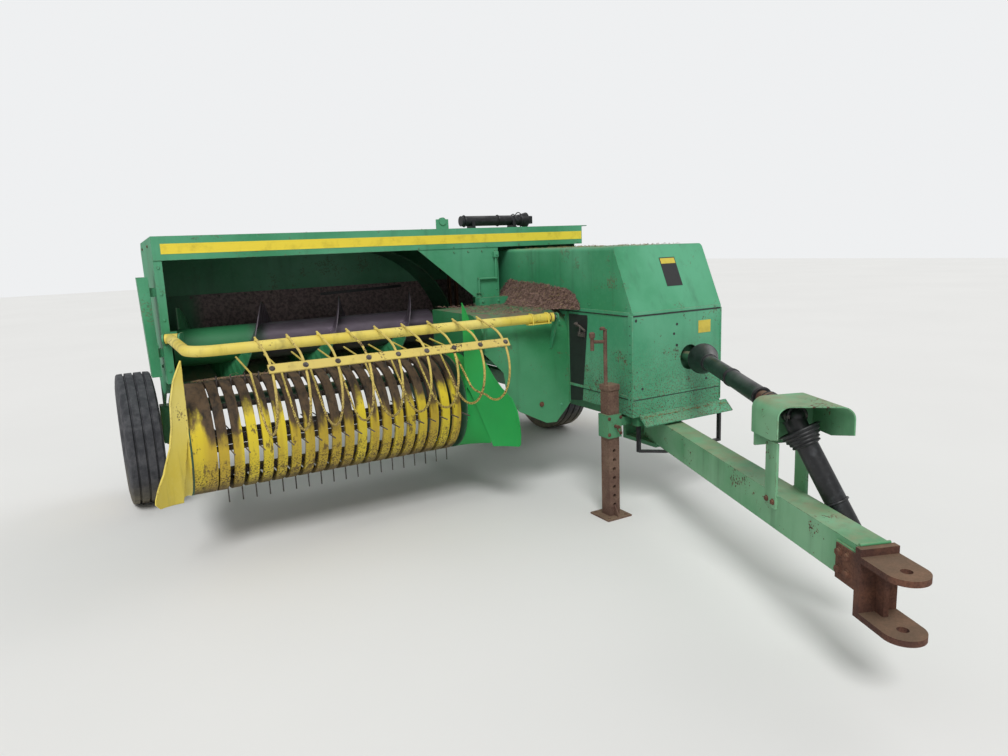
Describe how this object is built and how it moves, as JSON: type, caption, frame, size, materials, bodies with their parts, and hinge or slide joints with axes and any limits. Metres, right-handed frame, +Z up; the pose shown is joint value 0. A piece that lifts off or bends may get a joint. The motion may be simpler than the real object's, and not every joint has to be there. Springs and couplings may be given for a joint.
{
  "type": "square baler",
  "caption": "Towed small square baler with side pickup, feeder auger, bale case, swinging tongue and jack.",
  "frame": {"origin": "on the ground under the middle of the whole machine", "axes": "+X from the pickup side towards the bale case, +Y to the rear, +Z up"},
  "size_m": [2.811, 5.4602, 1.484],
  "materials": {
    "green_paint": "weathered gloss, chalky, rust at edges",
    "dark_green_paint": "dull, dusty, worn to metal in the hay path",
    "new_green_paint": "fresh gloss",
    "yellow_paint": "worn gloss with rust and black grime",
    "stripe_yellow": "smooth film",
    "black_plastic": "scuffed",
    "tyre_rubber": "dusty",
    "rusty_steel": "rust",
    "worn_steel": "worn bright with brown film"
  },
  "bodies": {
    "main": {"end_wall": "green_paint", "end_channel": "green_paint", "housing_back": "dark_green_paint", "feeder_trough": "dark_green_paint", "fascia": "green_paint", "stripe": "stripe_yellow", "gusset_panel": "green_paint", "feeder_arch": "dark_green_paint", "feeder_fingers": "rusty_steel", "bale_case": "green_paint", "tension_rails": "green_paint", "tension_screws": "worn_steel", "bale_chute": "green_paint", "knotters": "rusty_steel", "needle_frame": "rusty_steel", "twine_box": "green_paint", "main_frame": "green_paint", "axle": "green_paint", "gearbox": "dark_green_paint", "hood": "green_paint", "front_shield": "green_paint", "drive_shield": "green_paint", "jack_bracket": "green_paint", "guide_strap": "rusty_steel", "windguard_brackets": "green_paint", "control_rod": "green_paint", "spare_shaft": "black_plastic", "pickup_hangers": "green_paint"},
    "wheel_right": {"tyre_right": "tyre_rubber", "rim_right": "yellow_paint"},
    "wheel_left": {"tyre_left": "tyre_rubber", "rim_left": "yellow_paint"},
    "auger": {"auger_drum": "worn_steel", "auger_flight": "green_paint"},
    "pickup": {"pickup_bands": "yellow_paint", "pickup_frame": "dark_green_paint", "side_sheet_right": "yellow_paint", "side_sheet_left": "new_green_paint"},
    "reel": {"pickup_reel": "worn_steel"},
    "windguard": {"windguard_pipe": "yellow_paint", "windguard_rods": "yellow_paint", "windguard_tips": "yellow_paint", "windguard_bar": "yellow_paint"},
    "tongue": {"tongue_beam": "green_paint", "hitch_clevis": "rusty_steel", "shaft_stand": "green_paint", "joint_hood": "green_paint", "front_shaft": "black_plastic"},
    "driveline": {"shaft_tube": "black_plastic"},
    "driveline_slide": {"shaft_inner": "rusty_steel"},
    "flywheel": {"flywheel": "dark_green_paint"},
    "jack": {"jack_leg": "rusty_steel"},
    "plunger": {"plunger": "worn_steel"},
    "twine_lid": {"twine_lid": "green_paint"}
  },
  "joints": [
    {"name": "wheel_right_spin", "type": "hinge", "parent": "main", "child": "wheel_right", "pos_m": [-1.3155, 0.5735, 0.35], "axis": [1, 0, 0], "continuous": true},
    {"name": "wheel_left_spin", "type": "hinge", "parent": "main", "child": "wheel_left", "pos_m": [1.3055, 0.5735, 0.362], "axis": [1, 0, 0], "continuous": true},
    {"name": "auger_spin", "type": "hinge", "parent": "main", "child": "auger", "pos_m": [-0.4055, 0.2035, 0.85], "axis": [1, 0, 0], "continuous": true},
    {"name": "pickup_lift", "type": "hinge", "parent": "main", "child": "pickup", "pos_m": [-0.6055, 0.0835, 0.59], "axis": [1, 0, 0], "range_deg": [0, 20]},
    {"name": "reel_spin", "type": "hinge", "parent": "pickup", "child": "reel", "pos_m": [-0.6055, -0.4015, 0.5], "axis": [1, 0, 0], "continuous": true},
    {"name": "windguard_float", "type": "hinge", "parent": "main", "child": "windguard", "pos_m": [-1.1755, -0.1065, 0.933], "axis": [-0.9411, 0.3381, 0], "range_deg": [0, 9]},
    {"name": "tongue_swing", "type": "hinge", "parent": "main", "child": "tongue", "pos_m": [0.9495, -0.9665, 0.363], "axis": [0, 0, 1], "range_deg": [0, 40]},
    {"name": "driveline_swing", "type": "hinge", "parent": "main", "child": "driveline", "pos_m": [0.9945, -1.2365, 0.73], "axis": [0, 0, 1], "range_deg": [0, 51.9]},
    {"name": "driveline_telescope", "type": "slide", "parent": "driveline", "child": "driveline_slide", "axis": [-0.4931, -0.8696, -0.0272], "range_m": [-0.063, 0]},
    {"name": "flywheel_spin", "type": "hinge", "parent": "main", "child": "flywheel", "pos_m": [0.9945, -1.0965, 0.73], "axis": [0, 1, 0], "continuous": true},
    {"name": "jack_slide", "type": "slide", "parent": "main", "child": "jack", "axis": [0, 0, 1], "range_m": [0, 0.24]},
    {"name": "plunger_stroke", "type": "slide", "parent": "main", "child": "plunger", "axis": [0, 1, 0], "range_m": [0, 0.7]},
    {"name": "twine_lid_hinge", "type": "hinge", "parent": "main", "child": "twine_lid", "pos_m": [0.3445, 1.1835, 1.18], "axis": [-1, 0, 0], "range_deg": [0, 95]}
  ],
  "couplings": [
    {"joint": "driveline_swing", "follows": "tongue_swing", "ratio": 1.2841},
    {"joint": "driveline_telescope", "follows": "tongue_swing", "m_per_rad": -0.08705}
  ]
}
